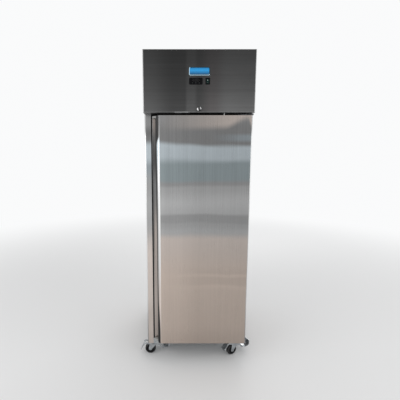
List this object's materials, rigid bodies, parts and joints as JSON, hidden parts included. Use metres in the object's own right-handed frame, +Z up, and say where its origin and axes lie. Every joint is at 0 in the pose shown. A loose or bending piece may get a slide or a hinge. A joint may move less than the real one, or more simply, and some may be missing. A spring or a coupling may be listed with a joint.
{
  "type": "commercial upright refrigerator",
  "caption": "Upright stainless storage refrigerator with a solid hinged door, top machine compartment, wire shelves and swivel castors.",
  "frame": {"origin": "centre of the overall footprint at floor level, under the castors", "axes": "+Z up; the door and fascia face -Y; +X is to the right seen from the front, the side that the door hinges on"},
  "size_m": [0.7899, 0.804, 2.04],
  "materials": {
    "stainless_dark": "satin",
    "stainless": "satin",
    "stainless_bright": "satin",
    "galvanised": "satin",
    "insulation": "matte",
    "breaker_plastic": "matte",
    "black_plastic": "satin",
    "badge_blue": "gloss",
    "smoked_window": "gloss",
    "key_grey": "satin",
    "switch_green": "gloss",
    "chrome": "gloss",
    "zinc": "satin",
    "black_enamel": "gloss",
    "fin_aluminium": "satin",
    "copper": "satin",
    "white_plastic": "satin",
    "lamp_cover": "satin",
    "gasket_rubber": "matte",
    "wheel_rubber": "matte",
    "shelf_coating": "satin"
  },
  "bodies": {
    "cabinet": {"side_panel_left": "stainless", "side_panel_right": "stainless", "base_panel": "galvanised", "back_panel": "galvanised", "deck_panel": "stainless", "cabinet_foam": "insulation", "inner_liner": "stainless_bright", "breaker_frame": "breaker_plastic", "top_cover": "galvanised", "rear_grille": "galvanised", "cable_gland": "black_plastic", "fascia_panel": "stainless_dark", "badge": "badge_blue", "controller_case": "black_plastic", "display_window": "smoked_window", "rocker_frame": "black_plastic", "lock_housing": "chrome", "door_switch": "white_plastic", "unit_tray": "galvanised", "condenser_coil": "fin_aluminium", "condenser_fan_motor": "black_enamel", "compressor": "black_enamel", "refrigerant_pipes": "copper", "electrical_box": "white_plastic", "evaporator_cover": "stainless_bright", "evaporator_coil": "fin_aluminium", "evaporator_fan_motor": "zinc", "shelf_pilasters": "stainless_bright", "shelf_clips": "stainless_bright", "interior_lamp": "lamp_cover", "hinge_brackets": "zinc", "caster_plates": "zinc", "screws": "zinc"},
    "door": {"door_skin": "stainless", "door_liner": "stainless_bright", "door_foam": "insulation", "door_gasket": "gasket_rubber", "door_fittings": "white_plastic"},
    "lock_barrel": {"lock_plug": "chrome", "lock_cam": "zinc"},
    "rocker_switch": {"rocker": "switch_green"},
    "set_key": {"key_set": "key_grey"},
    "down_key": {"key_down": "key_grey"},
    "up_key": {"key_up": "key_grey"},
    "door_plunger": {"switch_plunger": "white_plastic"},
    "bottom_shelf": {"shelf_bottom": "shelf_coating"},
    "middle_shelf": {"shelf_middle": "shelf_coating"},
    "top_shelf": {"shelf_top": "shelf_coating"},
    "condenser_blades": {"condenser_fan": "black_plastic"},
    "evaporator_blades": {"evaporator_fan": "black_plastic"},
    "front_left_swivel": {"fork_front_left": "zinc"},
    "front_right_swivel": {"fork_front_right": "zinc"},
    "back_left_swivel": {"fork_back_left": "zinc"},
    "back_right_swivel": {"fork_back_right": "zinc"},
    "front_left_wheel": {"wheel_front_left": "wheel_rubber"},
    "front_right_wheel": {"wheel_front_right": "wheel_rubber"},
    "back_left_wheel": {"wheel_back_left": "wheel_rubber"},
    "back_right_wheel": {"wheel_back_right": "wheel_rubber"},
    "front_left_pedal": {"pedal_front_left": "zinc"},
    "front_right_pedal": {"pedal_front_right": "zinc"}
  },
  "joints": [
    {"name": "door_hinge", "type": "hinge", "parent": "cabinet", "child": "door", "pos_m": [0.31, -0.373, 0.9], "axis": [0, 0, 1], "range_deg": [0, 110]},
    {"name": "lock_turn", "type": "hinge", "parent": "cabinet", "child": "lock_barrel", "pos_m": [0, -0.38, 1.698], "axis": [0, 1, 0], "range_deg": [0, 90]},
    {"name": "rocker_tilt", "type": "hinge", "parent": "cabinet", "child": "rocker_switch", "pos_m": [0.05, -0.395, 1.858], "axis": [1, 0, 0], "range_deg": [-16, 0]},
    {"name": "press_set", "type": "slide", "parent": "cabinet", "child": "set_key", "axis": [0, 1, 0], "range_m": [0, 0.0006], "stiffness_N_per_m": 400},
    {"name": "press_down", "type": "slide", "parent": "cabinet", "child": "down_key", "axis": [0, 1, 0], "range_m": [0, 0.0006], "stiffness_N_per_m": 400},
    {"name": "press_up", "type": "slide", "parent": "cabinet", "child": "up_key", "axis": [0, 1, 0], "range_m": [0, 0.0006], "stiffness_N_per_m": 400},
    {"name": "plunger_push", "type": "slide", "parent": "cabinet", "child": "door_plunger", "axis": [0, 0, 1], "range_m": [0, 0.003], "stiffness_N_per_m": 150, "springref_m": -0.002},
    {"name": "bottom_shelf_lift", "type": "slide", "parent": "cabinet", "child": "bottom_shelf", "axis": [0, 0, 1], "range_m": [0, 0.018]},
    {"name": "middle_shelf_lift", "type": "slide", "parent": "cabinet", "child": "middle_shelf", "axis": [0, 0, 1], "range_m": [0, 0.018]},
    {"name": "top_shelf_lift", "type": "slide", "parent": "cabinet", "child": "top_shelf", "axis": [0, 0, 1], "range_m": [0, 0.018]},
    {"name": "condenser_fan_spin", "type": "hinge", "parent": "cabinet", "child": "condenser_blades", "pos_m": [-0.11, 0.284, 1.844], "axis": [0, 1, 0], "continuous": true},
    {"name": "evaporator_fan_spin", "type": "hinge", "parent": "cabinet", "child": "evaporator_blades", "pos_m": [0, -0.142, 1.553], "axis": [0, 1, 0], "continuous": true},
    {"name": "front_left_turn", "type": "hinge", "parent": "cabinet", "child": "front_left_swivel", "pos_m": [-0.29, -0.268, 0.1], "axis": [0, 0, 1], "continuous": true},
    {"name": "front_left_roll", "type": "hinge", "parent": "front_left_swivel", "child": "front_left_wheel", "pos_m": [-0.327, -0.268, 0.0375], "axis": [0, 1, 0], "continuous": true},
    {"name": "front_right_turn", "type": "hinge", "parent": "cabinet", "child": "front_right_swivel", "pos_m": [0.29, -0.268, 0.1], "axis": [0, 0, 1], "continuous": true},
    {"name": "front_right_roll", "type": "hinge", "parent": "front_right_swivel", "child": "front_right_wheel", "pos_m": [0.25675, -0.28422, 0.0375], "axis": [-0.4384, 0.8988, 0], "continuous": true},
    {"name": "back_left_turn", "type": "hinge", "parent": "cabinet", "child": "back_left_swivel", "pos_m": [-0.29, 0.314, 0.1], "axis": [0, 0, 1], "continuous": true},
    {"name": "back_left_roll", "type": "hinge", "parent": "back_left_swivel", "child": "back_left_wheel", "pos_m": [-0.25647, 0.32964, 0.0375], "axis": [0.4226, -0.9063, 0], "continuous": true},
    {"name": "back_right_turn", "type": "hinge", "parent": "cabinet", "child": "back_right_swivel", "pos_m": [0.29, 0.314, 0.1], "axis": [0, 0, 1], "continuous": true},
    {"name": "back_right_roll", "type": "hinge", "parent": "back_right_swivel", "child": "back_right_wheel", "pos_m": [0.26084, 0.33678, 0.0375], "axis": [0.6157, 0.788, 0], "continuous": true},
    {"name": "front_left_brake", "type": "hinge", "parent": "front_left_swivel", "child": "front_left_pedal", "pos_m": [-0.298, -0.268, 0.072], "axis": [0, 1, 0], "range_deg": [0, 12]},
    {"name": "front_right_brake", "type": "hinge", "parent": "front_right_swivel", "child": "front_right_pedal", "pos_m": [0.28281, -0.27151, 0.072], "axis": [-0.4384, 0.8988, 0], "range_deg": [-12, 0]}
  ]
}
